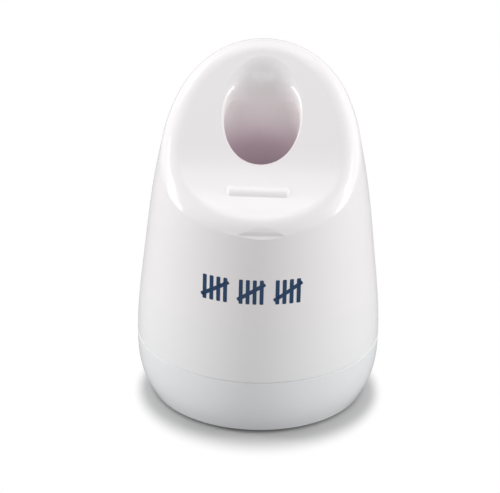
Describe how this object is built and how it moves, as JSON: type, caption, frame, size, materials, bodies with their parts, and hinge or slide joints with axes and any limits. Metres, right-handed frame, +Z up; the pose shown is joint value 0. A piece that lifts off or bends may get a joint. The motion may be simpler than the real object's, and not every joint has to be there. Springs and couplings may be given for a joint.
{
  "type": "colony counter pen stand",
  "caption": "Egg-shaped white desk stand with a slanted scooped face and an upright central well that holds a pen-type colony counter.",
  "frame": {"origin": "on the desk, under the centre of the stand; the well's axis passes through it", "axes": "+Z up along the well, -Y towards the user and the low front lip of the slanted face, +X to the user's right"},
  "size_m": [0.0836, 0.0836, 0.1193],
  "materials": {
    "shell": "injection-moulded white plastic, polished",
    "base": "injection-moulded white plastic, polished outside",
    "ballast": "zinc-plated steel disc",
    "fasteners": "zinc-plated steel",
    "feet": "dark rubber, matt"
  },
  "bodies": {
    "root": {"upper_shell": "shell", "base_cup": "base", "ballast_plate": "ballast", "ballast_washers": "fasteners", "ballast_screws": "fasteners", "cover_screws": "fasteners", "rubber_foot_1": "feet", "rubber_foot_2": "feet", "rubber_foot_3": "feet", "rubber_foot_4": "feet"}
  },
  "joints": []
}
